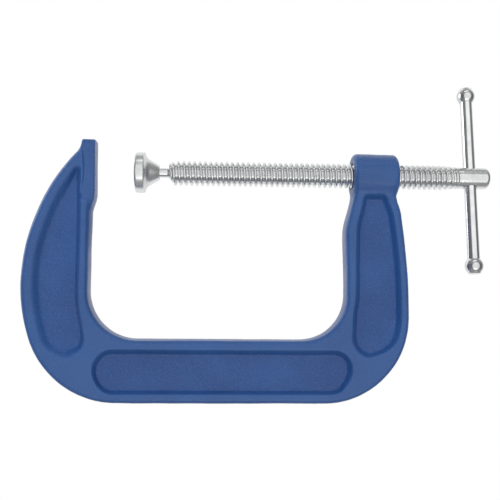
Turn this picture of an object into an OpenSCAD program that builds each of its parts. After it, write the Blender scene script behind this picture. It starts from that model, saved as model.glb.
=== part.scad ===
// C clamp (G clamp), 150 mm class: cast frame, rolled screw, swivel shoe and sliding tommy bar.
// Origin: centre of the anvil face, on the screw axis. +X runs along the screw towards the bar,
// +Z is up and the spine lies below the screw. The clamp stands in the XZ plane.

/* [Frame] */
// width of the frame's flanges, across Y
frame_w = 18; // [12:0.5:30]
// depth of the sunk panels on each side
panel_depth = 4.2; // [1:0.1:6]
// screw axis to the spine's inner edge
throat = 107.7; // [60:0.1:160]
// height of the spine
spine_h = 40.4; // [20:0.1:60]
// anvil face to the front arm's inner edge
arm_gap = 162.5; // [100:0.1:220]
// widest part of the back arm
back_arm_w = 41.5; // [20:0.1:60]
// widest part of the front arm
front_arm_w = 41.3; // [20:0.1:60]
// radius of the back arm's outer sweep
back_r = 119.5; // [100:0.5:200]
// height of the back arm's widest point below the screw axis
back_z = 71.9; // [50:0.1:90]
// outer radius of the lower corner under the anvil
heel_r_out = 59.2; // [40:0.1:70]
// inner radius of that corner
heel_r_in = 33; // [15:0.1:50]
// outer radius of the lower corner under the boss
toe_r_out = 56.4; // [40:0.1:70]
// inner radius of that corner
toe_r_in = 29; // [15:0.1:50]
// radius of the front arm's gently bowed outer edge
arm_bow_r = 412; // [300:1:900]
// flat rim left round the panels on the inner side of the frame
rim_in = 6; // [3:0.1:10]
// flat rim left round the panels on the outer side of the frame
rim_out = 7.2; // [3:0.1:10]
// run of the panels' sloping walls
panel_draft = 2; // [0.5:0.1:4]
// chamfer along the frame's outer edges
edge_c = 1.6; // [0.5:0.1:3]

/* [Anvil] */
// height of the anvil pad
anvil_h = 42; // [20:0.5:60]
// width of the anvil pad, across Y
anvil_w = 14; // [8:0.5:30]
// thickness of the anvil pad
anvil_t = 9; // [6:0.1:15]
// how far the anvil face stands out from the arm's inner edge
anvil_proud = 4; // [1:0.1:6]
// corner radius of the anvil pad
anvil_r = 4.5; // [1:0.1:6]

/* [Boss] */
// anvil face to the boss's near end
boss_x = 165.6; // [100:0.1:220]
// length of the boss
boss_l = 33.4; // [20:0.1:50]
// diameter of the boss
boss_d = 29; // [24:0.1:40]
// rounding of the boss's ends
boss_r = 3; // [1:0.1:5]
// width of the arm's waist under the boss
waist_w = 27.4; // [20:0.1:32]

/* [Screw] */
// diameter over the thread
thread_d = 16; // [14:0.1:20]
// thread pitch, right-hand
pitch = 3.5; // [2:0.1:5]
// depth of the thread
thread_h = 2; // [1:0.05:2.5]
// length over which the thread dies away before the head
runout = 12.5; // [4:0.5:25]
// width of the thread's crest
crest_w = 1.05; // [0.6:0.05:2]
// axial run of each thread flank
flank_w = 0.75; // [0.3:0.05:1]
// running clearance of the thread in the boss
thread_gap = 0.25; // [0.1:0.01:0.4]
// length of the threaded stretch
thread_l = 192.5; // [120:0.5:240]
// diameter of the plain head
head_d = 14; // [12:0.1:20]
// length of the plain head
head_l = 19.3; // [12:0.1:30]
// diameter of the neck behind the ball
neck_d = 6; // [4:0.1:8]
// diameter of the ball on the screw's end
ball_d = 10.6; // [8:0.1:12]

/* [Shoe] */
// jaw opening at rest, anvil face to shoe face
opening = 25.3; // [1:0.1:150]
// diameter of the shoe's face
shoe_d = 26.2; // [20:0.1:40]
// length of the shoe
shoe_l = 15.4; // [14:0.1:24]
// thickness of the shoe's rim
shoe_rim = 5.9; // [3:0.1:8]
// diameter of the shoe's mouth behind the ball
mouth_d = 8.2; // [7:0.1:10]
// clearance round the ball
ball_gap = 0.25; // [0.05:0.01:0.5]

/* [Bar] */
// diameter of the tommy bar
bar_d = 8; // [5:0.1:10]
// distance between the centres of the end knobs
bar_l = 116; // [80:0.1:160]
// turn of the bar about the screw axis at rest
bar_turn = 8; // [-90:1:90]
// how far the bar hangs below the screw axis
bar_drop = 0.7; // [0:0.1:40]
// diameter of the cross hole in the head
hole_d = 8.7; // [6:0.1:11]
// chamfer round the cross hole's mouths
hole_edge = 0.8; // [0.2:0.1:2]
// diameter of the end knobs
knob_d = 12.2; // [10:0.1:16]
// height of the end knobs, between their flattened ends
knob_h = 10.7; // [8:0.1:14]
// diameter of the bar's spigots inside the knobs
spigot_d = 6; // [4:0.1:7]

/* [Hidden] */

paint = [0.24, 0.34, 0.57];
zinc = [0.78, 0.79, 0.80];
eps = 0.01;

// steps along each of the frame's six stretches, and round the boss, screw and thread
steps = [14, 12, 6, 12, 8, 8];
round_fn = 96;
thread_fn = 18;

// frame landmarks in the XZ plane
spine_top = -throat;
spine_low = -throat - spine_h;
in_back = -anvil_proud;
out_back = -anvil_proud - back_arm_w;
out_front = arm_gap + front_arm_w;
tip_z = 16.2;
neck_z_in = -38;
neck_z_out = -27.5;
boss_in = 2.7;
waist_x_in = boss_x + 1.8;
waist_x_out = waist_x_in + waist_w;

back_c = [out_back + back_r, -back_z];
heel_c_z = spine_low + heel_r_out;
heel_gap = back_r - heel_r_out;
heel_c = [back_c.x - sqrt(heel_gap ^ 2 - (back_c.y - heel_c_z) ^ 2), heel_c_z];
heel_in_c = [in_back + heel_r_in, spine_top + heel_r_in];
toe_c = [out_front - toe_r_out, spine_low + toe_r_out];
toe_in_c = [arm_gap - toe_r_in, spine_top + toe_r_in];
bow_c = [out_front - arm_bow_r, toe_c.y];
tip_a = 180 - asin((tip_z - back_c.y) / back_r);
heel_a = 180 + asin((back_c.y - heel_c.y) / heel_gap);
bow_a = asin((neck_z_out - bow_c.y) / arm_bow_r);

// stretches of the frame, numbered by t: 0-1 back arm, 1-2 heel, 2-3 spine, 3-4 toe,
// 4-5 front arm, 5-6 waist. Each sunk panel runs from one t to another.
panels = [[0.12, 1.40], [1.67, 3.36], [3.57, 5.60]];
// length of frame that one unit of t covers, in each stretch
stretch_l = [100, 65, 112, 66, 56, 32];
// run of a panel's end wall and radius of its corners
end_run = 1.8;
end_r = 9;

ball_x = opening + 9.6;
thread_x = 47.9;
head_x = thread_x + thread_l;
bar_x = head_x + 5.9;
root_r = thread_d / 2 - thread_h;
blank_r = head_d / 2 - 0.1;
flare_r = 3.6;
root_w = pitch - crest_w - 2 * flank_w;

function mix(a, b, u) = a + (b - a) * u;
function clamp01(u) = min(1, max(0, u));
function ease(u) = u * u * (3 - 2 * u);
function polar(c, r, a) = [c.x + r * cos(a), c.y + r * sin(a)];
function arc(c, r, a0, a1, n) = [for (i = [0:n]) polar(c, r, mix(a0, a1, i / n))];

// outer and inner edge of the frame at t
function outer_pt(t) =
    t <= 1 ? polar(back_c, back_r, mix(tip_a, heel_a, t)) :
    t <= 2 ? polar(heel_c, heel_r_out, mix(heel_a, 270, t - 1)) :
    t <= 3 ? [mix(heel_c.x, toe_c.x, t - 2), spine_low] :
    t <= 4 ? polar(toe_c, toe_r_out, mix(270, 360, t - 3)) :
    t <= 5 ? polar(bow_c, arm_bow_r, mix(0, bow_a, t - 4)) :
    [mix(polar(bow_c, arm_bow_r, bow_a).x, waist_x_out, ease(clamp01((t - 5) / 0.6))),
     mix(neck_z_out, boss_in, t - 5)];
function inner_pt(t) =
    t <= 1 ? [in_back, mix(tip_z, heel_in_c.y, t)] :
    t <= 2 ? polar(heel_in_c, heel_r_in, mix(180, 270, t - 1)) :
    t <= 3 ? [mix(heel_in_c.x, toe_in_c.x, t - 2), spine_top] :
    t <= 4 ? polar(toe_in_c, toe_r_in, mix(270, 360, t - 3)) :
    t <= 5 ? [arm_gap, mix(toe_in_c.y, neck_z_in, t - 4)] :
    [mix(arm_gap, waist_x_in, ease(clamp01((t - 5) / 0.7))), mix(neck_z_in, boss_in, t - 5)];

// distance along the frame from t to the nearer end of its panel, 0 outside every panel
function end_dist(t) = max(0, max([for (p = panels) min(t - p[0], p[1] - t)]))
    * stretch_l[min(5, floor(t))];
// how far a panel's side walls close in near its rounded ends
function end_close(d) = d >= end_r ? 0 : end_r - sqrt(end_r ^ 2 - (end_r - d) ^ 2);
// extra rim on the front arm's shoulders, and flare of the frame into the boss
function shoulder(t) = 3 * ease(clamp01(t - 4.9));
function flare(t) = 3.5 * ease(clamp01((t - 5.3) / 0.7));

// cross-section of the frame at t: [distance from inner edge, distance from mid-plane]
function half_section(t, w) =
    let (hw = frame_w / 2 + flare(t))
    let (d = end_dist(t))
    let (deep = panel_depth * clamp01(d / end_run))
    let (shut = end_close(d) + shoulder(t))
    let (c = min(edge_c, w / 6))
    let (ri = min(rim_in + shut, 0.34 * w))
    let (ro = min(rim_out + shut, 0.34 * w))
    let (run = min(panel_draft, 0.1 * w))
    [[0, hw - c], [c, hw], [ri, hw], [ri + run, hw - deep],
     [w - ro - run, hw - deep], [w - ro, hw], [w - c, hw], [w, hw - c]];
function section(t) =
    let (a = inner_pt(t))
    let (b = outer_pt(t))
    let (w = norm(b - a))
    let (e = (b - a) / w)
    let (h = half_section(t, w))
    concat([for (p = h) [a.x + e.x * p[0], -p[1], a.y + e.y * p[0]]],
           [for (i = [len(h) - 1:-1:0]) [a.x + e.x * h[i][0], h[i][1], a.y + e.y * h[i][0]]]);

// stations along the frame: even steps, and closer ones at the panels' ends
function station_list() =
    let (even = [for (k = [0:5]) for (i = [0:steps[k] - 1]) k + i / steps[k]])
    let (ends = [for (p = panels) for (s = [0, 1]) for (d = [0, end_run, 4, 7, end_r])
        p[s] + (s == 0 ? d : -d) / stretch_l[min(5, floor(p[s]))]])
    sort_up(concat(even, ends, [6]));
function sort_up(v) = len(v) <= 1 ? v :
    let (m = v[floor(len(v) / 2)])
    concat(sort_up([for (x = v) if (x < m - 0.002) x]), [m],
           sort_up([for (x = v) if (x > m + 0.002) x]));

// closed skin over rings of m points each, with fanned ends
module loft(rings) {
    n = len(rings);
    m = len(rings[0]);
    sides = [for (i = [0:n - 2]) for (j = [0:m - 1])
        let (a = i * m + j)
        let (b = i * m + (j + 1) % m)
        for (f = [[a, b + m, b], [a, a + m, b + m]]) f];
    first = [for (j = [1:m - 2]) [0, j, j + 1]];
    last = [for (j = [1:m - 2]) (n - 1) * m * [1, 1, 1] + [0, j + 1, j]];
    points = [for (r = rings) for (p = r) p];
    polyhedron(points = points, faces = concat(sides, first, last));
}

// threaded rod along +X from x = start, right-hand: the thread grows over the first fade_in turns,
// and over the last fade_out turns it dies away to radius blank; grow enlarges it for a bore
module threaded_rod(start, turns, n, grow, fade_in, fade_out, blank) {
    k = 1 / (grow > 0 ? cos(180 / n) : 1);
    side = grow / 2;
    prof = [[side, 0], [root_w - side, 0], [root_w + flank_w - side, 1],
            [root_w + flank_w + crest_w + side, 1]];
    m = len(prof);
    last = round(turns * n);
    function rise(i) = fade_in == 0 ? 1 : clamp01(i / (fade_in * n));
    function full(i) = fade_out == 0 ? 1 : clamp01((last - i) / (fade_out * n));
    function at(i, j) =
        let (r = mix(blank, root_r + grow + thread_h * rise(i) * prof[j][1], full(i)) * k)
        [start + pitch * i / n + prof[j][0], r * cos(360 * i / n), r * sin(360 * i / n)];
    // rows run to one turn past the last, whose first column closes the turn before
    rows = last + n;
    grid = [for (i = [0:last]) for (j = [0:m - 1]) at(i, j)];
    tail = [for (i = [last + 1:rows]) at(i, 0)];
    tail_at = len(grid);
    ends_at = tail_at + len(tail);
    ends = [[start - side, 0, 0], [at(rows, 0).x + side, 0, 0]];
    function id(i, j) = j < m ? (i <= last ? i * m + j : tail_at + i - last - 1) : id(i + n, 0);
    skin = [for (i = [0:last - 1]) for (j = [0:m - 1])
        for (f = [[id(i, j), id(i, j + 1), id(i + 1, j + 1)],
                  [id(i, j), id(i + 1, j + 1), id(i + 1, j)]]) f];
    near = concat([for (i = [0:n - 1]) [id(i, 0), id(i + 1, 0), ends_at]],
                  [for (j = [0:m - 1]) [id(0, j + 1), id(0, j), ends_at]]);
    far = concat([for (i = [last:rows - 1]) [id(i + 1, 0), id(i, 0), ends_at + 1]],
                 [for (j = [0:m - 1]) [id(last, j), id(last, j + 1), ends_at + 1]]);
    polyhedron(points = concat(grid, tail, ends), faces = concat(skin, near, far));
}

module along_x(x) {
    translate([x, 0, 0]) rotate([90, 0, 90]) children();
}

module anvil_side() {
    top = anvil_h / 2;
    rotate([90, 0, 0])
        linear_extrude(height = anvil_w, center = true)
            polygon([[-anvil_t, top - 1], [-anvil_t + 1, top], [-1, top], [0, top - 1],
                     [0, 7 - top], [-1, 2 - top], [-2.4, -top], [-anvil_proud - 0.6, -top - 1.7],
                     [-anvil_t, -top - 1.7]]);
}

module anvil_front() {
    y = anvil_w / 2 - anvil_r;
    z = anvil_h / 2 - anvil_r;
    low = z + 1.5;
    along_x(-anvil_t - 1)
        linear_extrude(height = anvil_t + 2)
            polygon(concat(arc([y, z], anvil_r, 0, 90, 5), arc([-y, z], anvil_r, 90, 180, 5),
                           arc([-y, -low], anvil_r, 180, 270, 5),
                           arc([y, -low], anvil_r, 270, 360, 5)));
}

module boss_body() {
    r = boss_d / 2;
    rotate([0, 90, 0])
        rotate_extrude($fn = round_fn)
            polygon(concat([[0, boss_x + boss_l], [0, boss_x]],
                           arc([r - boss_r, boss_x + boss_r], boss_r, -90, 0, 5),
                           arc([r - boss_r, boss_x + boss_l - boss_r], boss_r, 0, 90, 5)));
}

module boss_mouth(x, way) {
    along_x(x)
        cylinder(r1 = thread_d / 2 + (way < 0 ? 1.2 : -1), r2 = thread_d / 2 + (way < 0 ? -1 : 1.2),
                 h = 2.2, $fn = round_fn);
}

module frame() {
    color(paint)
        difference() {
            union() {
                loft([for (t = station_list()) section(t)]);
                intersection() {
                    anvil_side();
                    anvil_front();
                }
                boss_body();
            }
            threaded_rod(thread_x + pitch * 31, 15, 24, thread_gap, 0, 0, 0);
            boss_mouth(boss_x - eps, -1);
            boss_mouth(boss_x + boss_l - 2.2 + eps, 1);
        }
}

module screw() {
    neck_r = neck_d / 2;
    head_end = head_x + head_l;
    color(zinc)
        difference() {
            union() {
                threaded_rod(thread_x, thread_l / pitch - 1, thread_fn, 0, 0.5, runout / pitch,
                             blank_r);
                rotate([0, 90, 0])
                    rotate_extrude($fn = round_fn)
                        polygon(concat([[0, thread_x + 2.6], [0, ball_x], [neck_r, ball_x]],
                                       arc([neck_r + flare_r, thread_x - 0.3], flare_r, 180, 130, 4),
                                       [[root_r + 0.1, thread_x + 2.6]]));
                translate([ball_x, 0, 0]) sphere(d = ball_d, $fn = round_fn);
                rotate([0, 90, 0])
                    rotate_extrude($fn = round_fn)
                        polygon(concat([[0, head_end], [0, head_x - 2.2]],
                                       [[blank_r - 0.4, head_x - 2.2], [head_d / 2, head_x - 0.8]],
                                       arc([head_d / 2 - 3, head_end - 3], 3, 0, 90, 5)));
            }
            on_bar() cylinder(d = hole_d, h = 2 * head_d, center = true, $fn = round_fn);
            for (turn = [0, 180])
                on_bar() rotate([turn, 0, 0]) translate([0, 0, head_d / 2 - hole_edge])
                    cylinder(d1 = hole_d, d2 = hole_d + 4 * hole_edge, h = 2 * hole_edge,
                             $fn = round_fn);
        }
}

module swivel_shoe() {
    r = shoe_d / 2;
    back = opening + shoe_l;
    rim = opening + shoe_rim;
    throat_r = mouth_d / 2;
    shell_r = ball_d / 2 + 2.5;
    color(zinc)
        difference() {
            rotate([0, 90, 0])
                rotate_extrude($fn = round_fn)
                    polygon(concat([[0, opening], [r - 1.8, opening]],
                                   arc([r - 1.6, opening + 1.7], 1.6, -60, 0, 3),
                                   arc([r - 1.4, rim - 1.4], 1.4, 0, 60, 3),
                                   [[r - 2.7, rim + 0.5], [shell_r + 0.6, rim + 2.8]],
                                   arc([0, ball_x], shell_r, 0, 36, 5),
                                   [[throat_r + 0.8, back], [0, back]]));
            translate([ball_x, 0, 0]) sphere(r = ball_d / 2 + ball_gap, $fn = round_fn);
            along_x(ball_x) cylinder(r = throat_r, h = shoe_l, $fn = round_fn);
        }
}

// bar's own frame: z along the bar, at rest on the screw axis
module on_bar() {
    translate([bar_x, 0, 0]) rotate([-bar_turn, 0, 0]) children();
}

module tommy_bar() {
    color(zinc)
        on_bar() translate([0, 0, -bar_drop]) {
            cylinder(d = bar_d, h = bar_l - knob_h + 1, center = true, $fn = round_fn);
            cylinder(d = spigot_d, h = bar_l + knob_h - 3, center = true, $fn = round_fn);
        }
}

module knob(side) {
    color(zinc)
        on_bar() translate([0, 0, side * bar_l / 2 - bar_drop])
            difference() {
                intersection() {
                    sphere(d = knob_d, $fn = round_fn);
                    cube([knob_d, knob_d, knob_h], center = true);
                }
                translate([0, 0, -side * bar_l / 2]) {
                    cylinder(d = bar_d, h = bar_l - knob_h + 1, center = true, $fn = round_fn);
                    cylinder(d = spigot_d, h = bar_l + knob_h - 3, center = true,
                             $fn = round_fn);
                }
            }
}

module upper_knob() {
    knob(1);
}

module lower_knob() {
    knob(-1);
}

frame();
screw();
swivel_shoe();
tommy_bar();
upper_knob();
lower_knob();
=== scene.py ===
import math

import bmesh
import bpy
import numpy as np
from mathutils import Matrix, Vector


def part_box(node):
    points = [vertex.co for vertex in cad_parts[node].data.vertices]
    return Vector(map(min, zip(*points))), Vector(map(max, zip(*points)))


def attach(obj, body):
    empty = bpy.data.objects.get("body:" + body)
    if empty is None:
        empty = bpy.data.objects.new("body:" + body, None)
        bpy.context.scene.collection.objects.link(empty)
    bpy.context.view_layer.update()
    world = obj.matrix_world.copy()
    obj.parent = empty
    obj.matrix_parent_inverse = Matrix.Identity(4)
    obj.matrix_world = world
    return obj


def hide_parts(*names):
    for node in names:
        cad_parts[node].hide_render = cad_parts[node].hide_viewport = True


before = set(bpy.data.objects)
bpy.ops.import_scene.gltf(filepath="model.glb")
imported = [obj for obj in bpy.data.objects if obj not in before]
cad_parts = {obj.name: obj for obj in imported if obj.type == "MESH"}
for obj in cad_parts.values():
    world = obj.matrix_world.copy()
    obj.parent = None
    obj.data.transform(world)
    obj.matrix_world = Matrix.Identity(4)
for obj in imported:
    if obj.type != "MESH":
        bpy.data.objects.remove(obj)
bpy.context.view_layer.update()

# A C clamp's visual model: lengths here are in millimetres, in the frame's own axes, and become
# metres where a mesh, light or camera is made.

MM = 0.001
TAU = 2 * math.pi


def node_box(node):
    """A CAD node's lowest and highest corner, in millimetres."""
    low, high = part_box(node)
    return np.array(low) / MM, np.array(high) / MM


# ---------------------------------------------------------------- sizes, in millimetres
# frame casting: landmarks of its outline in the XZ plane
FRAME_LOW, FRAME_HIGH = node_box("frame")
HALF_W = 9.0
THROAT = 107.7
ARM_GAP = 162.5
ANVIL_PROUD = 3.1
BACK_R = 119.5
BACK_Z = -71.9
HEEL_R_OUT = 59.2
HEEL_R_IN = 31.0
TOE_R_OUT = 55.2
TOE_R_IN = 29.0
BOW_R = 412.0
TIP_Z = 16.2
NECK_Z_IN = -38.0
NECK_Z_OUT = -27.5
BOSS_IN = 2.7
BACK_DIP = 0.8
BACK_DIP_T = 0.42
BACK_DIP_RUN = 0.16
FRONT_BOW = 0.8
FRONT_BOW_T = 4.9
FRONT_BOW_RUN = 0.45
WAIST_X_IN = 167.0
WAIST_X_OUT = 194.4
WAIST_RUN_IN = 0.7
WAIST_RUN_OUT = 0.6
OUT_BACK = FRAME_LOW[0]
OUT_FRONT = FRAME_HIGH[0]
SPINE_LOW = FRAME_LOW[2]

# panels sunk in the frame's sides, inside its rims and these lines: for each line a point on it,
# its outward way and the radius of the corners it makes
PANELS = {
    "back_arm": (((-10.0, 3.5), (0.3, 0.95), 2.0), ((-2.6, -100.0), (1.0, -0.12), 12.0),
                 ((-20.3, -122.8), (0.05, -1.0), 15.0)),
    "spine": (((80.0, -112.4), (0.0, 1.0), 1.0), ((-0.2, -128.0), (-1.0, 0.0), 13.0),
              ((167.8, -128.0), (1.0, 0.0), 13.0)),
    "front_arm": (((165.6, -90.0), (-1.0, 0.03), 2.0), ((184.0, -119.6), (0.0, -1.0), 15.0),
                  ((181.0, -11.5), (0.0, 1.0), 4.0)),
}
PANEL_DEPTH = 4.2
RIM_CORNER = 3.0
# run of the panels' sloping walls: the back arm's inner and outer side, the spine's upper and
# lower side, and the front arm
RUN_INNER = 4.2
RUN_BACK = 8.8
RUN_SPINE = 5.5
RUN_LOW = 3.4
RUN_FRONT = 5.0
# rim's width on the frame's inner and outer side, at a few t
RIM_KEYS = (0.0, 0.9, 1.6, 2.0, 3.0, 3.6, 4.0, 4.9, 5.25, 5.6)
RIM_IN = (3.8, 4.4, 4.4, 4.0, 4.0, 4.2, 4.7, 5.6, 5.4, 5.2)
RIM_OUT = (3.4, 5.2, 5.4, 5.4, 5.4, 5.2, 4.2, 4.2, 4.8, 5.2)

# casting's edges, and its sides' flare up to the boss
EDGE_R = 2.9
SIDE_BULGE = 0.45
FLARE = 3.5
FLARE_Z0 = -20.0
FLARE_RISE = 22.0

# anvil pad
PAD_HALF_W = 7.0
PAD_T = 8.6
PAD_MID = -1.5
PAD_HALF_H = 21.9
PAD_CORNER = 3.2
PAD_EDGE = 1.0
PAD_FILLET = 3.4
PAD_UNDER = -17.5
UNDER_WAY = (0.9, -0.44)
UNDER_ROUND = 1.5

# bowed step beside the pad, from the arm's full width to the pad's
STEP_X = -6.8
STEP_Z = 1.0
STEP_BOW = 2.0
STEP_REACH = 16.0
STEP_RUN = 1.4
STEP_LOW = -19.5
STEP_LOW_RUN = 2.5

# swell of the back arm's inner face below the pad
ARM_SWELL = 1.2
SWELL_HALF_W = 7.5
SWELL_Z0 = -75.0
SWELL_RISE = 50.0

# threaded boss
BOSS_X0 = 166.7
BOSS_X1 = 196.0
BOSS_R = 14.5
BOSS_ROUND = 3.2
BOSS_FILLET = 2.0
BORE_MOUTH = 1.2
NEAR_BOSS_X = 150.0

# screw
SCREW_LOW, SCREW_HIGH = node_box("screw")
SHOE_LOW, SHOE_HIGH = node_box("swivel_shoe")
PITCH = 3.5
CREST_R = 8.0
ROOT_R = 6.0
CREST_W = 1.05
FLANK_W = 0.75
THREAD_GAP = 0.25
BALL_R = 5.3
BALL_X = SCREW_LOW[0] + BALL_R
NECK_R = 3.0
THREAD_X = BALL_X + 11.3
HEAD_X = THREAD_X + 194.2
HEAD_END = HEAD_X + 17.8
HEAD_R = 7.0
BLANK_R = 6.9
HEAD_ROUND = 3.0
FLARE_X0 = THREAD_X - 0.3
FLARE_X1 = THREAD_X + 2.6
COLLAR_X0 = HEAD_X - 2.2
COLLAR_X1 = HEAD_X - 0.8
RUNOUT = 12.5
START_TURNS = 0.5
CREST_SOFT = 91

# swivel shoe
SHOE_FACE = SHOE_LOW[0]
SHOE_BACK = SHOE_HIGH[0]
SHOE_R = (SHOE_HIGH[2] - SHOE_LOW[2]) / 2
SHOE_RIM = 6.4
SHOE_DISH = 0.5
FACE_RINGS = (5.0, 7.4, 9.8)
RING_DEPTH = 0.14
RING_HALF_W = 0.3
SOCKET_R = BALL_R + 0.25
MOUTH_R = 4.1
MOUTH_EDGE = 0.3
BELL_R = 8.9
BELL_FALL = 2.4

# tommy bar
BAR_X = HEAD_X + 5.5
BAR_TURN = math.radians(8)
BAR_R = 4.0
BAR_L = 116.0
BAR_DROP = 0.7
HOLE_R = 4.35
HOLE_EDGE = 0.8
KNOB_R = 5.95
KNOB_H = 10.7
KNOB_CUP = 0.12
SPIGOT_R = 3.0
SPIGOT_START = (BAR_L - KNOB_H) / 2 + 0.5
SPIGOT_END = (BAR_L + KNOB_H) / 2 - 1.5

GRID = 0.55


# ---------------------------------------------------------------- mesh helpers
def new_mesh(name, points_mm, faces, sharp_deg=None):
    """A smooth-shaded mesh object from points in millimetres."""
    mesh = bpy.data.meshes.new(name)
    mesh.from_pydata((np.asarray(points_mm, float) * MM).tolist(), [], [list(f) for f in faces])
    mesh.validate()
    mesh.shade_smooth()
    if sharp_deg is not None:
        mesh.set_sharp_from_angle(angle=math.radians(sharp_deg))
    obj = bpy.data.objects.new(name, mesh)
    bpy.context.scene.collection.objects.link(obj)
    return obj


def arc(cx, cr, radius, a0, a1, n):
    """Points of an arc in an (axial, radial) profile, angles in degrees from the radial way."""
    angles = np.radians(np.linspace(a0, a1, n + 1))
    return [(cx + radius * math.sin(a), cr + radius * math.cos(a)) for a in angles]


def revolve(profile, n, place, wobble=None):
    """Points and faces of a closed profile of (axial, radial) pairs turned about the axis.
    place(axial, y, z) puts a point into the row frame; wobble(axial, radial, angle) moves it."""
    points, rings, faces = [], [], []
    for axial, radial in profile:
        if radial < 1e-6:
            rings.append([len(points)] * n)
            points.append(place(axial, 0.0, 0.0))
            continue
        rings.append(list(range(len(points), len(points) + n)))
        for k in range(n):
            a = TAU * k / n
            ax, r = wobble(axial, radial, a) if wobble else (axial, radial)
            points.append(place(ax, r * math.cos(a), r * math.sin(a)))
    for ra, rb in zip(rings, rings[1:]):
        for k in range(n):
            m = (k + 1) % n
            quad = [ra[k], ra[m], rb[m], rb[k]]
            face = [v for i, v in enumerate(quad) if v != quad[i - 1]]
            if len(face) > 2:
                faces.append(face)
    return points, faces


def cut(obj, tool):
    """Takes tool's volume out of obj and removes tool."""
    mod = obj.modifiers.new("cut", "BOOLEAN")
    mod.operation = "DIFFERENCE"
    mod.solver = "EXACT"
    mod.object = tool
    bpy.context.view_layer.update()
    graph = bpy.context.evaluated_depsgraph_get()
    mesh = bpy.data.meshes.new_from_object(obj.evaluated_get(graph))
    obj.modifiers.clear()
    old = obj.data
    obj.data = mesh
    bpy.data.meshes.remove(old)
    bpy.data.objects.remove(tool)


def finish_piece(obj, body, nodes, material):
    """Rides the piece on its body, in place of its CAD nodes."""
    obj.data.materials.clear()
    obj.data.materials.append(material)
    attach(obj, body)
    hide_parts(*nodes)


# ---------------------------------------------------------------- frame outline
def mix(a, b, u):
    """From a at u = 0 to b at u = 1."""
    return a + (b - a) * u


def ease(u):
    """Smooth step from 0 at u = 0 to 1 at u = 1."""
    u = np.clip(u, 0.0, 1.0)
    return u * u * (3 - 2 * u)


def polar(c, r, deg):
    """The point at a radius and angle from a centre."""
    return np.array([c[0] + r * math.cos(math.radians(deg)), c[1] + r * math.sin(math.radians(deg))])


IN_BACK = -ANVIL_PROUD
BACK_C = np.array([OUT_BACK + BACK_R, BACK_Z])
HEEL_C_Z = SPINE_LOW + HEEL_R_OUT
HEEL_GAP = BACK_R - HEEL_R_OUT
HEEL_C = np.array([BACK_C[0] - math.sqrt(HEEL_GAP ** 2 - (BACK_C[1] - HEEL_C_Z) ** 2), HEEL_C_Z])
HEEL_IN_C = np.array([IN_BACK + HEEL_R_IN, -THROAT + HEEL_R_IN])
TOE_C = np.array([OUT_FRONT - TOE_R_OUT, SPINE_LOW + TOE_R_OUT])
TOE_IN_C = np.array([ARM_GAP - TOE_R_IN, -THROAT + TOE_R_IN])
BOW_C = np.array([OUT_FRONT - BOW_R, TOE_C[1]])
TIP_A = 180 - math.degrees(math.asin((TIP_Z - BACK_C[1]) / BACK_R))
HEEL_A = 180 + math.degrees(math.asin((BACK_C[1] - HEEL_C[1]) / HEEL_GAP))
BOW_A = math.degrees(math.asin((NECK_Z_OUT - BOW_C[1]) / BOW_R))


def outer_pt(t):
    """Outer edge at t: 0-1 back arm, 1-2 heel, 2-3 spine, 3-4 toe, 4-5 front arm, 5-6 waist."""
    if t <= 1:
        dip = BACK_DIP * math.exp(-((t - BACK_DIP_T) / BACK_DIP_RUN) ** 2)
        return polar(BACK_C, BACK_R - dip, mix(TIP_A, HEEL_A, t))
    if t <= 2:
        return polar(HEEL_C, HEEL_R_OUT, mix(HEEL_A, 270, t - 1))
    if t <= 3:
        return np.array([mix(HEEL_C[0], TOE_C[0], t - 2), SPINE_LOW])
    if t <= 4:
        return polar(TOE_C, TOE_R_OUT, mix(270, 360, t - 3))
    if t <= 5:
        return polar(BOW_C, BOW_R, mix(0, BOW_A, t - 4))
    shoulder_x = polar(BOW_C, BOW_R, BOW_A)[0]
    return np.array([mix(shoulder_x, WAIST_X_OUT, ease((t - 5) / WAIST_RUN_OUT)),
                     mix(NECK_Z_OUT, BOSS_IN, t - 5)])


def inner_pt(t):
    """Inner edge at the same t."""
    if t <= 1:
        return np.array([IN_BACK, mix(TIP_Z, HEEL_IN_C[1], t)])
    if t <= 2:
        return polar(HEEL_IN_C, HEEL_R_IN, mix(180, 270, t - 1))
    if t <= 3:
        return np.array([mix(HEEL_IN_C[0], TOE_IN_C[0], t - 2), -THROAT])
    if t <= 4:
        return polar(TOE_IN_C, TOE_R_IN, mix(270, 360, t - 3))
    bow = FRONT_BOW * math.exp(-((t - FRONT_BOW_T) / FRONT_BOW_RUN) ** 2)
    if t <= 5:
        return np.array([ARM_GAP - bow, mix(TOE_IN_C[1], NECK_Z_IN, t - 4)])
    return np.array([mix(ARM_GAP, WAIST_X_IN, ease((t - 5) / WAIST_RUN_IN)) - bow,
                     mix(NECK_Z_IN, BOSS_IN, t - 5)])


EDGE_T = np.linspace(0, 6, 361)
INNER_EDGE = np.array([inner_pt(t) for t in EDGE_T])
OUTER_EDGE = np.array([outer_pt(t) for t in EDGE_T])
TIP_EDGE = np.array([INNER_EDGE[0], OUTER_EDGE[0]])


def edge_distance(line, x, z):
    """Distance from each point to an open line, and the line's t at the nearest place."""
    px, pz = x.ravel(), z.ravel()
    best = np.full(px.size, 1e9)
    t = np.zeros(px.size)
    for i in range(len(line) - 1):
        (ax, az), (ex, ez) = line[i], line[i + 1] - line[i]
        wx, wz = px - ax, pz - az
        u = np.clip((wx * ex + wz * ez) / (ex * ex + ez * ez), 0, 1)
        d = (wx - ex * u) ** 2 + (wz - ez * u) ** 2
        nearer = d < best
        best[nearer] = d[nearer]
        t[nearer] = EDGE_T[i] + u[nearer] * (EDGE_T[i + 1] - EDGE_T[i])
    return np.sqrt(best).reshape(x.shape), t.reshape(x.shape)


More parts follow.
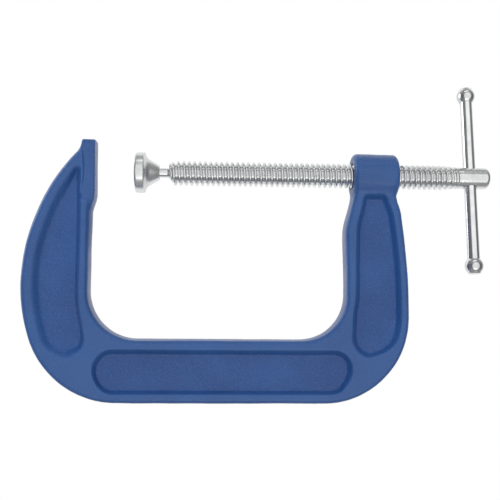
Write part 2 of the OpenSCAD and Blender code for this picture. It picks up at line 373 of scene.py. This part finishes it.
def inside_outline(x, z):
    """True where a point lies inside the frame's outline."""
    poly = np.concatenate([INNER_EDGE, OUTER_EDGE[::-1]])
    px, pz = x.ravel(), z.ravel()
    inside = np.zeros(px.size, bool)
    for (ax, az), (bx, bz) in zip(poly, np.roll(poly, -1, 0)):
        if az != bz:
            inside ^= ((az > pz) != (bz > pz)) & (px < (bx - ax) * (pz - az) / (bz - az) + ax)
    return inside.reshape(x.shape)


def past_line(line, x, z):
    """How far each point lies past one of a panel's lines."""
    (cx, cz), way, _ = line
    return ((x - cx) * way[0] + (z - cz) * way[1]) / math.hypot(*way)


def frame_plan(x, z):
    """Distance to the frame's outline and to its sunk panels' edges, negative inside both, and the
    run of the panels' sloping walls."""
    to_in, t_in = edge_distance(INNER_EDGE, x, z)
    to_out, t_out = edge_distance(OUTER_EDGE, x, z)
    tip, _ = edge_distance(TIP_EDGE, x, z)
    edge = np.minimum(np.minimum(to_in, to_out), tip)
    edge = np.where(inside_outline(x, z), -edge, edge)
    rim = rounded(np.interp(t_in, RIM_KEYS, RIM_IN) - to_in,
                  np.interp(t_out, RIM_KEYS, RIM_OUT) - to_out, RIM_CORNER)
    sunk = np.full(x.shape, 99.0)
    for cuts in PANELS.values():
        own = rim
        for line in cuts:
            own = rounded(own, past_line(line, x, z), line[2])
        sunk = np.minimum(sunk, own)
    # the panels' walls run widest on the back arm's outer side and under the spine's inner edge
    outer = ease((to_in - to_out) / 16 + 0.5)
    run = np.where(x < 0, mix(RUN_INNER, RUN_BACK, outer), mix(RUN_SPINE, RUN_LOW, outer))
    run = np.where(x > 160, RUN_FRONT, run)
    return edge, np.where(edge < 0, sunk, 99), run


def soft_union(a, b, k):
    """Union of two distance fields with a fillet about k wide."""
    h = np.clip(0.5 + 0.5 * (b - a) / k, 0, 1)
    return b + (a - b) * h - k * h * (1 - h)


def soft_cut(a, b, k):
    """What two distance fields share, with a rounded edge about k wide."""
    return -soft_union(-a, -b, k)


def rounded(wx, wy, r):
    """Distance to a rounded corner region from the two distances to its flat sides."""
    wx, wy = wx + r, wy + r
    return np.minimum(np.maximum(wx, wy), 0) + np.hypot(np.maximum(wx, 0), np.maximum(wy, 0)) - r


# ---------------------------------------------------------------- thread
def thread_profile():
    """One turn's height, 0 at the root to 1 at the crest, sampled over the pitch and softened."""
    n = 350
    x = (np.arange(n) + 0.5) / n * PITCH
    root_w = PITCH - CREST_W - 2 * FLANK_W
    h = np.interp(x, [0, root_w, root_w + FLANK_W, root_w + FLANK_W + CREST_W, PITCH],
                  [0, 0, 1, 1, 0])
    soft = np.hanning(CREST_SOFT)
    wide = np.concatenate([h, h, h])
    return np.convolve(wide, soft / soft.sum(), "same")[n:2 * n]


PROFILE = thread_profile()


def thread_height(x, angle):
    """Height of the thread at x, at an angle from +Y towards +Z, and the turns from its start."""
    turns = (x - THREAD_X) / PITCH - angle / TAU
    phase = turns - np.floor(turns)
    n = len(PROFILE)
    h = np.interp(phase * n, np.arange(n + 1), np.append(PROFILE, PROFILE[0]))
    return h, turns


# ---------------------------------------------------------------- frame casting
def frame_field(xs, ys, zs):
    """Distance field of the casting on a grid, negative inside."""
    x, z = np.meshgrid(xs, zs, indexing="ij")
    edge, sunk, run = frame_plan(x, z)
    flare = FLARE * ease((z - FLARE_Z0) / FLARE_RISE)
    half = HALF_W + np.where(x > NEAR_BOSS_X, flare, 0)
    u = np.clip(-sunk / run, 0, 1)
    half = half - PANEL_DEPTH * u * u * u * (u * (u * 6 - 15) + 10)

    boss_mid = (BOSS_X0 + BOSS_X1) / 2
    boss_half = (BOSS_X1 - BOSS_X0) / 2
    on_back = x < 15
    # beside the pad the arm is only as wide as the pad, behind a bowed step
    step_x = STEP_X - STEP_BOW * ((z - STEP_Z) / STEP_REACH) ** 2
    beside = ease((x - step_x) / STEP_RUN + 0.5) * ease((z - STEP_LOW) / STEP_LOW_RUN) * on_back
    half = half - (HALF_W - PAD_HALF_W + 0.1) * beside
    # the back arm's inner face swells along its middle towards the pad
    swell = ARM_SWELL * ease((z - SWELL_Z0) / SWELL_RISE) * on_back
    field = np.empty((len(xs), len(ys), len(zs)), np.float32)
    for j, y in enumerate(ys):
        bulge = SIDE_BULGE * ((y / HALF_W) ** 2)
        swollen = swell * max(0.0, 1 - (y / SWELL_HALF_W) ** 2)
        arm = rounded(edge + bulge - swollen, abs(y) - half, EDGE_R)
        axis = np.hypot(y, z)
        boss = rounded(axis - BOSS_R, np.abs(x - boss_mid) - boss_half, BOSS_ROUND)
        body = soft_union(arm, boss, BOSS_FILLET)

        flat = rounded(abs(y) - PAD_HALF_W, np.abs(z - PAD_MID) - PAD_HALF_H, PAD_CORNER)
        pad = rounded(flat, np.abs(x + PAD_T / 2) - PAD_T / 2, PAD_EDGE)
        under = x * UNDER_WAY[0] + (z - PAD_UNDER) * UNDER_WAY[1]
        body = soft_union(body, soft_cut(pad, under, UNDER_ROUND), PAD_FILLET)

        angle = np.mod(np.arctan2(z, y), TAU)
        h, _ = thread_height(x, angle)
        bore = ROOT_R + THREAD_GAP + (CREST_R - ROOT_R) * h
        mouth = np.maximum(BOSS_X0 - x, x - BOSS_X1) + BORE_MOUTH
        bore = np.maximum(bore, CREST_R - 0.2 + mouth)
        bored = (x > NEAR_BOSS_X) & (axis < BOSS_R - 1.5)
        field[:, j, :] = np.where(bored, np.maximum(body, bore - axis), body)
    return field


EDGES = [(a, a | bit) for a in range(8) for bit in (1, 2, 4) if not a & bit]


def skin(field, low, step):
    """Quads over the field's zero level: one point per crossed cell (surface nets)."""
    inside = field < 0
    corners = [(c & 1, c >> 1 & 1, c >> 2 & 1) for c in range(8)]
    n = [s - 1 for s in field.shape]

    def shifted(a, c):
        return a[c[0]:c[0] + n[0], c[1]:c[1] + n[1], c[2]:c[2] + n[2]]

    count = sum(shifted(inside, c).astype(np.int8) for c in corners)
    cells = np.argwhere((count > 0) & (count < 8))
    index = np.full(count.shape, -1, np.int32)
    index[tuple(cells.T)] = np.arange(len(cells))
    values = np.stack([field[tuple((cells + c).T)] for c in corners], 1)
    total = np.zeros((len(cells), 3))
    hits = np.zeros(len(cells))
    for a, b in EDGES:
        va, vb = values[:, a], values[:, b]
        crossed = (va < 0) != (vb < 0)
        u = np.where(crossed, va / np.where(crossed, va - vb, 1), 0)[:, None]
        at = np.array(corners[a]) + u * (np.array(corners[b]) - np.array(corners[a]))
        total += at * crossed[:, None]
        hits += crossed
    points = low + (cells + total / hits[:, None]) * step

    quads = []
    for axis in range(3):
        o1, o2 = [v for v in range(3) if v != axis]
        a = inside[tuple(slice(0, -1) if v == axis else slice(None) for v in range(3))]
        b = inside[tuple(slice(1, None) if v == axis else slice(None) for v in range(3))]
        at = np.argwhere(a != b)
        at = at[(at[:, o1] > 0) & (at[:, o2] > 0)]
        d1, d2 = np.eye(3, dtype=int)[o1], np.eye(3, dtype=int)[o2]
        quad = np.stack([index[tuple((at - d).T)] for d in (d1 + d2, d2, 0 * d1, d1)], 1)
        out = a[tuple(at.T)] ^ (axis == 1)
        quads.append(np.where(out[:, None], quad, quad[:, ::-1]))
    return points, np.concatenate(quads)


def vertex_normals(points, quads):
    """Unit normals at the points, from the quads around each."""
    p = points[quads]
    face = np.cross(p[:, 2] - p[:, 0], p[:, 3] - p[:, 1])
    total = np.zeros_like(points)
    for k in range(4):
        np.add.at(total, quads[:, k], face)
    return total / np.maximum(np.linalg.norm(total, axis=1, keepdims=True), 1e-12)


def relax(points, quads, keep, rounds):
    """Evens the points out along the surface; keep is 1 where a point may not move."""
    pairs = np.concatenate([quads[:, [k, (k + 1) % 4]] for k in range(4)])
    degree = np.bincount(pairs[:, 0], minlength=len(points))[:, None]
    for _ in range(rounds):
        for pull in (0.5, -0.52):
            total = np.stack([np.bincount(pairs[:, 0], points[pairs[:, 1], c], len(points))
                              for c in range(3)], 1)
            points = points + pull * (1 - keep) * (total / degree - points)
    return points


def waves(points, rng, count, short, long, size):
    """Smooth unevenness: a sum of seeded plane waves."""
    total = np.zeros(len(points))
    for _ in range(count):
        way = rng.normal(size=3)
        way /= np.linalg.norm(way)
        total += np.sin(points @ way * TAU / rng.uniform(short, long) + rng.uniform(0, TAU))
    return total * size / math.sqrt(count)


def cast_skin(points):
    """How far the sand-cast skin stands off the true shape: waviness, grain and a few pits."""
    rng = np.random.default_rng(7)
    off = waves(points, rng, 24, 18, 45, 0.10) + waves(points, rng, 40, 3.0, 7.0, 0.022)
    for _ in range(26):
        at = points[rng.integers(len(points))]
        wide, deep = rng.uniform(0.5, 1.1), rng.uniform(0.12, 0.32)
        off -= deep * np.exp(-((points - at) ** 2).sum(1) / wide ** 2)
    return off


def build_casting(material):
    low = FRAME_LOW - 2.5
    high = FRAME_HIGH + 2.5
    axes = [np.arange(a, b, GRID) for a, b in zip(low, high)]
    points, quads = skin(frame_field(*axes), low, GRID)
    axis = np.hypot(points[:, 1], points[:, 2])
    near_boss = points[:, 0] > NEAR_BOSS_X
    bore = ((axis < CREST_R + 1.5) & near_boss).astype(float)[:, None]
    points = relax(points, quads, bore, 3)
    normals = vertex_normals(points, quads)
    cast = np.where(near_boss, np.clip((axis - CREST_R - 2) / 3, 0, 1), 1.0)
    points = points + normals * (cast_skin(points) * cast)[:, None]
    obj = new_mesh("cast_frame", points, quads)
    finish_piece(obj, "frame", ["frame"], material)


# ---------------------------------------------------------------- screw
def spindle_profile(x):
    """Radius of the screw's plain shape at x, without its thread."""
    if x < BALL_X + math.sqrt(BALL_R ** 2 - NECK_R ** 2):
        return math.sqrt(max(0.0, BALL_R ** 2 - (x - BALL_X) ** 2))
    if x < FLARE_X0:
        return NECK_R
    if x < FLARE_X1:
        s = (x - FLARE_X0) / (FLARE_X1 - FLARE_X0)
        return NECK_R + (ROOT_R - NECK_R) * (1 - math.sqrt(max(0.0, 1 - s * s)) * (1 - 0.25 * s))
    if x < COLLAR_X0:
        return ROOT_R
    if x < COLLAR_X1:
        return mix(BLANK_R - 0.1, HEAD_R, ease((x - COLLAR_X0) / (COLLAR_X1 - COLLAR_X0)))
    inset = x - (HEAD_END - HEAD_ROUND)
    if inset <= 0:
        return HEAD_R
    return HEAD_R - HEAD_ROUND + math.sqrt(max(0.0, HEAD_ROUND ** 2 - inset ** 2))


def build_screw(material):
    n = 80
    step = PITCH / 24
    ball = [BALL_X - BALL_R * math.cos(a) for a in np.linspace(0.12, 2.5, 30)]
    neck = np.arange(ball[-1] + 0.4, THREAD_X - 1.2, 0.6)
    thread = np.arange(THREAD_X - 1.0, HEAD_X, step)
    head = np.arange(HEAD_X + 0.3, HEAD_END - HEAD_ROUND, 0.55)
    close = [HEAD_END - HEAD_ROUND + HEAD_ROUND * math.sin(a) for a in np.linspace(0, math.pi / 2, 14)]
    xs = np.concatenate([ball, neck, thread, head, close])
    angles = np.arange(n) * TAU / n
    x, a = np.meshgrid(xs, angles, indexing="ij")
    plain = np.array([spindle_profile(v) for v in xs])[:, None]
    h, turns = thread_height(x, a)
    last = (HEAD_X - THREAD_X) / PITCH - 1
    along = np.floor(turns) + a / TAU
    rise = np.clip(along / START_TURNS, 0, 1)
    fade = np.clip((last - along) / (RUNOUT / PITCH), 0, 1)
    worm = mix(BLANK_R, ROOT_R + (CREST_R - ROOT_R) * h * rise, fade)
    worm = np.where((turns > 0) & (x < COLLAR_X1), worm, 0)
    r = np.maximum(plain, worm)
    rows = len(xs)
    pts = np.stack([x, r * np.cos(a), r * np.sin(a)], -1).reshape(-1, 3)
    pts = np.concatenate([pts, [[BALL_X - BALL_R, 0, 0], [HEAD_END, 0, 0]]])
    faces = []
    for i in range(rows - 1):
        for k in range(n):
            m = (k + 1) % n
            faces.append((i * n + k, i * n + m, (i + 1) * n + m, (i + 1) * n + k))
    end = rows * n
    faces += [(end, (k + 1) % n, k) for k in range(n)]
    faces += [(end + 1, (rows - 1) * n + k, (rows - 1) * n + (k + 1) % n) for k in range(n)]
    obj = new_mesh("screw_spindle", pts, [f[::-1] for f in faces])
    cut(obj, cross_hole_tool())
    obj.data.set_sharp_from_angle(angle=math.radians(44))
    finish_piece(obj, "screw", ["screw"], material)


def on_bar(axial, y, z):
    """From the bar's own axis, at rest through the screw's axis, into the row frame."""
    c, s = math.cos(BAR_TURN), math.sin(BAR_TURN)
    return (BAR_X + y, z * c + axial * s, axial * c - z * s)


def cross_hole_tool():
    """The bar's hole through the head, opening at 45 degrees at both ends."""
    edge = HEAD_R - HOLE_EDGE
    end = HEAD_R + 2.0
    wide = HOLE_R + end - edge
    profile = [(-end, 0), (-end, wide), (-edge, HOLE_R), (edge, HOLE_R), (end, wide), (end, 0)]
    pts, faces = revolve(profile, 64, on_bar)
    return outward(new_mesh("hole_tool", pts, faces))


def outward(obj):
    """Turns a closed mesh's faces to look outwards."""
    work = bmesh.new()
    work.from_mesh(obj.data)
    bmesh.ops.recalc_face_normals(work, faces=work.faces)
    work.to_mesh(obj.data)
    work.free()
    return obj


# ---------------------------------------------------------------- swivel shoe
def bell_curve(rim):
    """Outside of the bell from behind the rim to the mouth: steep at first, then a straight taper."""
    out = []
    for u in np.linspace(0, 1, 22):
        fall = BELL_FALL * math.exp(-8 * u)
        out.append((mix(rim + 0.15, SHOE_BACK - MOUTH_EDGE, u),
                    mix(BELL_R, MOUTH_R + 0.75, u ** 1.35) + fall))
    return out


def build_shoe(material):
    rim = SHOE_FACE + SHOE_RIM
    profile = [(SHOE_FACE + SHOE_DISH, 0), (SHOE_FACE + SHOE_DISH, 2.2), (SHOE_FACE, 3.0)]
    for ring in FACE_RINGS:
        profile += [(SHOE_FACE, ring - RING_HALF_W), (SHOE_FACE + RING_DEPTH, ring),
                    (SHOE_FACE, ring + RING_HALF_W)]
    profile += arc(SHOE_FACE + 1.5, SHOE_R - 1.5, 1.5, -90, 0, 8)
    profile += arc(rim - 1.3, SHOE_R - 1.3, 1.3, 0, 80, 8)
    profile += bell_curve(rim)
    profile += arc(SHOE_BACK - MOUTH_EDGE, MOUTH_R + 0.4, MOUTH_EDGE, 50, 90, 3)
    profile += [(SHOE_BACK, MOUTH_R + MOUTH_EDGE), (SHOE_BACK - MOUTH_EDGE, MOUTH_R)]
    mouth_x = BALL_X + math.sqrt(SOCKET_R ** 2 - MOUTH_R ** 2)
    profile += [(mouth_x, MOUTH_R)]
    first = math.degrees(math.asin((mouth_x - BALL_X) / SOCKET_R))
    profile += arc(BALL_X, 0, SOCKET_R, first - 4, -86, 20)
    profile += [(BALL_X - SOCKET_R, 0)]
    pts, faces = revolve(profile, 128, lambda ax, y, z: (ax, y, z))
    obj = outward(new_mesh("shoe_bell", pts, faces))
    obj.data.set_sharp_from_angle(angle=math.radians(50))
    finish_piece(obj, "shoe", ["swivel_shoe"], material)


# ---------------------------------------------------------------- tommy bar
def build_bar(material):
    end = [(SPIGOT_END, 0), (SPIGOT_END, SPIGOT_R - 0.4), (SPIGOT_END - 0.4, SPIGOT_R),
           (SPIGOT_START, SPIGOT_R), (SPIGOT_START, BAR_R)]
    steps = [(v, BAR_R) for v in np.linspace(SPIGOT_START - 1.5, 1.5 - SPIGOT_START, 60)]
    profile = end + steps + [(-v, r) for v, r in reversed(end)]
    profile = [(v - BAR_DROP, r) for v, r in profile]
    shift = np.random.default_rng(11).uniform(-0.8, 0.8)

    def drawn(axial, radial, a):
        """Slightly out of round, in a slow wave along the bar."""
        return axial, radial + 0.012 * math.sin(axial / 9 + shift) * math.cos(2 * a)

    pts, faces = revolve(profile, 72, on_bar, drawn)
    obj = outward(new_mesh("bar_rod", pts, faces))
    obj.data.set_sharp_from_angle(angle=math.radians(40))
    finish_piece(obj, "bar", ["tommy_bar"], material)


def build_knob(name, node, side, material):
    """End knob pressed on the bar: a ball with an upset, flattened end."""
    half = KNOB_H / 2
    start, end = SPIGOT_START - BAR_L / 2, SPIGOT_END - BAR_L / 2
    neck = -math.sqrt(KNOB_R ** 2 - (BAR_R + 0.1) ** 2)
    profile = [(end, 0), (end, SPIGOT_R), (start, SPIGOT_R), (start, BAR_R + 0.01),
               (neck + 0.2, BAR_R + 0.01), (neck, BAR_R + 0.25)]
    low = math.degrees(math.asin((neck + 0.35) / KNOB_R))
    profile += arc(0, 0, KNOB_R, low, 44, 18)
    profile += arc(half - 1.3, 3.0, 1.3, 46, 90, 6)
    profile += [(half, 2.0), (half - KNOB_CUP, 0.6), (half - KNOB_CUP, 0)]

    def place(axial, y, z):
        return on_bar(side * (axial + BAR_L / 2) - BAR_DROP, y, z)

    pts, faces = revolve(profile, 72, place)
    obj = outward(new_mesh(name, pts, faces))
    obj.data.set_sharp_from_angle(angle=math.radians(50))
    finish_piece(obj, "bar", [node], material)


# ---------------------------------------------------------------- materials
def srgb(r, g, b):
    """Linear colour from 0-255 display values."""
    def linear(v):
        v /= 255
        return v / 12.92 if v <= 0.04045 else ((v + 0.055) / 1.055) ** 2.4

    return (linear(r), linear(g), linear(b), 1.0)


class Nodes:
    """Short way to wire a node tree."""

    def __init__(self, tree):
        self.tree = tree
        tree.nodes.clear()

    def add(self, kind, **values):
        node = self.tree.nodes.new(kind)
        for key, value in values.items():
            if hasattr(node, key):
                setattr(node, key, value)
            else:
                self.put(node.inputs[key.replace("_", " ")], value)
        return node

    def put(self, socket, value):
        if isinstance(value, bpy.types.NodeSocket):
            self.tree.links.new(value, socket)
        else:
            socket.default_value = value

    def noise(self, where, scale, detail=2.0, rough=0.5, stretch=None):
        node = self.add("ShaderNodeTexNoise")
        if stretch:
            mapping = self.add("ShaderNodeMapping")
            mapping.inputs["Scale"].default_value = stretch
            self.put(mapping.inputs["Vector"], where)
            where = mapping.outputs["Vector"]
        self.put(node.inputs["Vector"], where)
        node.inputs["Scale"].default_value = scale
        node.inputs["Detail"].default_value = detail
        node.inputs["Roughness"].default_value = rough
        return node.outputs["Fac"]

    def fit(self, value, low, high, to_low=0.0, to_high=1.0):
        node = self.add("ShaderNodeMapRange")
        self.put(node.inputs["Value"], value)
        for key, v in (("From Min", low), ("From Max", high), ("To Min", to_low),
                       ("To Max", to_high)):
            node.inputs[key].default_value = v
        return node.outputs["Result"]

    def blend(self, fac, a, b, way="MIX"):
        node = self.add("ShaderNodeMix")
        node.data_type = "RGBA"
        node.blend_type = way
        self.put(node.inputs["Factor"], fac)
        sockets = [s for s in node.inputs if s.type == "RGBA"]
        self.put(sockets[0], a)
        self.put(sockets[1], b)
        return [s for s in node.outputs if s.type == "RGBA"][0]

    def maths(self, way, a, b=0.0):
        node = self.add("ShaderNodeMath")
        node.operation = way
        self.put(node.inputs[0], a)
        self.put(node.inputs[1], b)
        return node.outputs[0]

    def bump(self, height, distance, strength=1.0, under=None):
        node = self.add("ShaderNodeBump")
        self.put(node.inputs["Height"], height)
        node.inputs["Distance"].default_value = distance
        node.inputs["Strength"].default_value = strength
        if under is not None:
            self.put(node.inputs["Normal"], under)
        return node.outputs["Normal"]


def new_material(name):
    mat = bpy.data.materials.new(name)
    mat.use_nodes = True
    nodes = Nodes(mat.node_tree)
    shader = nodes.add("ShaderNodeBsdfPrincipled")
    out = nodes.add("ShaderNodeOutputMaterial")
    mat.node_tree.links.new(shader.outputs["BSDF"], out.inputs["Surface"])
    where = nodes.add("ShaderNodeTexCoord").outputs["Object"]
    return mat, nodes, shader, where


def paint_material():
    """Blue enamel over a sand-cast skin, with painted shade in its creases and painted light on its
    edges and raised rims.
    """
    mat, nodes, shader, where = new_material("blue_enamel")
    deep, body = srgb(25, 68, 131), srgb(32, 78, 143)
    # the first blue here is a light blue used for random grain, for worn edges with painted highlight,
    # and for painted light on the raised rims; the second is a deep blue used as painted shade in the
    # creases
    worn_and_lit, crease_shade = srgb(74, 116, 176), srgb(22, 66, 142)
    cloud = nodes.noise(where, 28, 3)
    colour = nodes.blend(nodes.fit(cloud, 0.35, 0.65), deep, body)
    grain = nodes.noise(where, 1100, 3, 0.6)
    colour = nodes.blend(nodes.fit(grain, 0.45, 0.75, 0, 0.35), colour, worn_and_lit)
    edge = nodes.add("ShaderNodeNewGeometry").outputs["Pointiness"]
    # worn edges and painted highlight: convex edges (high pointiness) lightened, partly for rubbed
    # paint and partly for the light they catch
    colour = nodes.blend(nodes.fit(edge, 0.51, 0.56, 0, 0.35), colour, worn_and_lit)
    # painted shade: creases and hollows (low pointiness) darkened towards a deep blue, standing in for
    # the shade that falls there
    colour = nodes.blend(nodes.fit(edge, 0.48, 0.42, 0, 0.22), colour, crease_shade)
    # painted light: the raised rims, standing proud of the sunk panels, lightened so the panel floors
    # read darker as painted shade
    split = nodes.add("ShaderNodeSeparateXYZ")
    nodes.put(split.inputs[0], where)
    lit_rims = nodes.fit(nodes.maths("ABSOLUTE", split.outputs["Y"]), 0.005, 0.0088, 0.0, 0.24)
    colour = nodes.blend(lit_rims, colour, worn_and_lit)
    nodes.put(shader.inputs["Base Color"], colour)
    rough = nodes.fit(nodes.noise(where, 90, 4), 0.3, 0.7, 0.36, 0.5)
    nodes.put(shader.inputs["Roughness"], rough)
    peel = nodes.bump(nodes.noise(where, 420, 3, 0.55), 0.00012, 0.5)
    fine = nodes.bump(grain, 0.00004, 0.5, peel)
    nodes.put(shader.inputs["Normal"], fine)
    for key, value in (("Specular IOR Level", 0.35), ("Coat Weight", 0.2), ("Coat Roughness", 0.25),
                       ("Sheen Weight", 0.16), ("Sheen Roughness", 0.35)):
        shader.inputs[key].default_value = value
    return mat


def zinc_material(name, tint, rough, stretch, scratch):
    """Bright zinc plate over turned or rolled steel."""
    mat, nodes, shader, where = new_material(name)
    dull = tuple(c * 0.84 for c in tint[:3]) + (1.0,)
    cloud = nodes.noise(where, 160, 4, 0.6)
    colour = nodes.blend(nodes.fit(cloud, 0.35, 0.7), dull, tint)
    nodes.put(shader.inputs["Base Color"], colour)
    shader.inputs["Metallic"].default_value = 1.0
    lines = nodes.noise(where, 900, 3, 0.6, stretch)
    nodes.put(shader.inputs["Roughness"], nodes.fit(lines, 0.3, 0.7, rough * 0.8, rough * 1.3))
    normal = nodes.bump(lines, 0.00002, scratch)
    normal = nodes.bump(nodes.noise(where, 260, 2), 0.00004, 0.25, normal)
    nodes.put(shader.inputs["Normal"], normal)
    return mat


# ---------------------------------------------------------------- stage
CAM_POS = np.array([76.3, -456.0, -62.1])
CAM_AIM = np.array([100.1, 0.0, -49.4])
CAM_ROLL = math.radians(0.633)
CAM_LENS = 50.4
CLAMP_MID = np.array([100.0, 0.0, -45.0])
FLOOR_HALF = 3000.0
FLOOR_GAP = 0.3
# surroundings' brightness: the patch before the object, with the way to it, then the sides, and
# above and below
FRONT_WAY = (0.11, -0.994, 0.0)
FRONT = 0.88
SIDE_DIM = 0.17
UPRIGHT_DIM = 0.36


def build_camera():
    data = bpy.data.cameras.new("camera")
    data.lens = CAM_LENS
    data.sensor_width = 36
    data.clip_start = 0.01
    data.clip_end = 50
    cam = bpy.data.objects.new("camera", data)
    bpy.context.scene.collection.objects.link(cam)
    f = CAM_AIM - CAM_POS
    f /= np.linalg.norm(f)
    r = np.cross(f, [0, 0, 1])
    r /= np.linalg.norm(r)
    u = np.cross(r, f)
    c, s = math.cos(CAM_ROLL), math.sin(CAM_ROLL)
    r2, u2 = r * c + u * s, u * c - r * s
    m = Matrix.Identity(4)
    for row in range(3):
        m[row][0], m[row][1], m[row][2] = r2[row], u2[row], -f[row]
        m[row][3] = CAM_POS[row] * MM
    cam.matrix_world = m
    bpy.context.scene.camera = cam


def area_light(name, at_mm, aim_mm, size_mm, watts, mirrored=True):
    data = bpy.data.lights.new(name, "AREA")
    data.shape = "RECTANGLE"
    data.size, data.size_y = size_mm[0] * MM, size_mm[1] * MM
    data.energy = watts
    light = bpy.data.objects.new(name, data)
    bpy.context.scene.collection.objects.link(light)
    at = Vector([v * MM for v in at_mm])
    aim = Vector([v * MM for v in aim_mm])
    light.location = at
    light.rotation_euler = (aim - at).to_track_quat("-Z", "Y").to_euler()
    light.visible_camera = False
    light.visible_glossy = mirrored


def build_world():
    """White surroundings, bright behind the object and before it and dim at the sides."""
    world = bpy.data.worlds.new("studio")
    bpy.context.scene.world = world
    world.use_nodes = True
    nodes = Nodes(world.node_tree)
    way = nodes.add("ShaderNodeTexCoord").outputs["Generated"]
    split = nodes.add("ShaderNodeSeparateXYZ")
    nodes.put(split.inputs[0], way)
    tall = nodes.maths("ABSOLUTE", split.outputs["Z"])
    sides = nodes.fit(tall, 0.25, 0.75, SIDE_DIM, UPRIGHT_DIM)
    ahead = nodes.add("ShaderNodeVectorMath", operation="DOT_PRODUCT")
    nodes.put(ahead.inputs[0], way)
    ahead.inputs[1].default_value = FRONT_WAY
    front = nodes.fit(ahead.outputs["Value"], 0.62, 0.79, 0.0, FRONT)
    behind = nodes.fit(split.outputs["Y"], 0.05, 0.50, 0.0, 0.75)
    lit = nodes.maths("ADD", nodes.maths("ADD", front, behind), sides)
    seen = nodes.add("ShaderNodeLightPath").outputs["Is Camera Ray"]
    back = nodes.add("ShaderNodeBackground")
    back.inputs["Color"].default_value = (1, 1, 1, 1)
    nodes.put(back.inputs["Strength"], nodes.maths("MAXIMUM", lit, seen))
    out = nodes.add("ShaderNodeOutputWorld")
    world.node_tree.links.new(back.outputs["Background"], out.inputs["Surface"])


def build_floor():
    """Plain pale floor under the spine."""
    half, z = FLOOR_HALF, SPINE_LOW - FLOOR_GAP
    corners = [(-half, -half, z), (half, -half, z), (half, half, z), (-half, half, z)]
    floor = new_mesh("floor", corners, [(0, 1, 2, 3)])
    mat = bpy.data.materials.new("pale_floor")
    mat.use_nodes = True
    nodes = Nodes(mat.node_tree)
    matt = nodes.add("ShaderNodeBsdfDiffuse")
    matt.inputs["Color"].default_value = (0.85, 0.85, 0.85, 1)
    glow = nodes.add("ShaderNodeEmission")
    glow.inputs["Strength"].default_value = 1.0
    seen = nodes.add("ShaderNodeLightPath").outputs["Is Camera Ray"]
    both = nodes.add("ShaderNodeMixShader")
    nodes.put(both.inputs[0], seen)
    nodes.put(both.inputs[1], matt.outputs[0])
    nodes.put(both.inputs[2], glow.outputs[0])
    out = nodes.add("ShaderNodeOutputMaterial")
    mat.node_tree.links.new(both.outputs[0], out.inputs["Surface"])
    floor.data.materials.append(mat)
    floor.visible_diffuse = floor.visible_glossy = floor.visible_shadow = False


def softbox(name, azimuth, elevation, size_mm, radiance, mirrored=True, reach=1200.0):
    """Soft box aimed at the object from the front; azimuth is to the right of the camera's side."""
    a, e = math.radians(azimuth), math.radians(elevation)
    way = np.array([math.sin(a) * math.cos(e), -math.cos(a) * math.cos(e), math.sin(e)])
    watts = radiance * math.pi * size_mm[0] * size_mm[1] * MM * MM
    area_light(name, CLAMP_MID + reach * way, CLAMP_MID, size_mm, watts, mirrored)


def build_lights():
    softbox("key_box", -46, 38, (520, 520), 4.0, mirrored=False)
    softbox("side_box", -104, 14, (600, 900), 2.2)
    softbox("low_box", 6, -38, (900, 240), 1.6)
    softbox("top_box", 10, 66, (900, 300), 1.2)


def main():
    scene = bpy.context.scene
    scene.view_settings.view_transform = "Standard"
    scene.view_settings.look = "None"
    zinc = srgb(226, 228, 228)
    build_casting(paint_material())
    build_screw(zinc_material("zinc_screw", zinc, 0.22, (1, 1, 1), 0.3))
    build_shoe(zinc_material("zinc_shoe", zinc, 0.28, (8, 1, 1), 0.35))
    build_bar(zinc_material("zinc_bar", srgb(236, 238, 239), 0.12, (1, 1, 0.08), 0.3))
    knob = zinc_material("zinc_knob", zinc, 0.16, (1, 1, 1), 0.3)
    build_knob("knob_top", "upper_knob", 1, knob)
    build_knob("knob_bottom", "lower_knob", -1, knob)
    build_camera()
    build_world()
    build_lights()
    build_floor()


main()
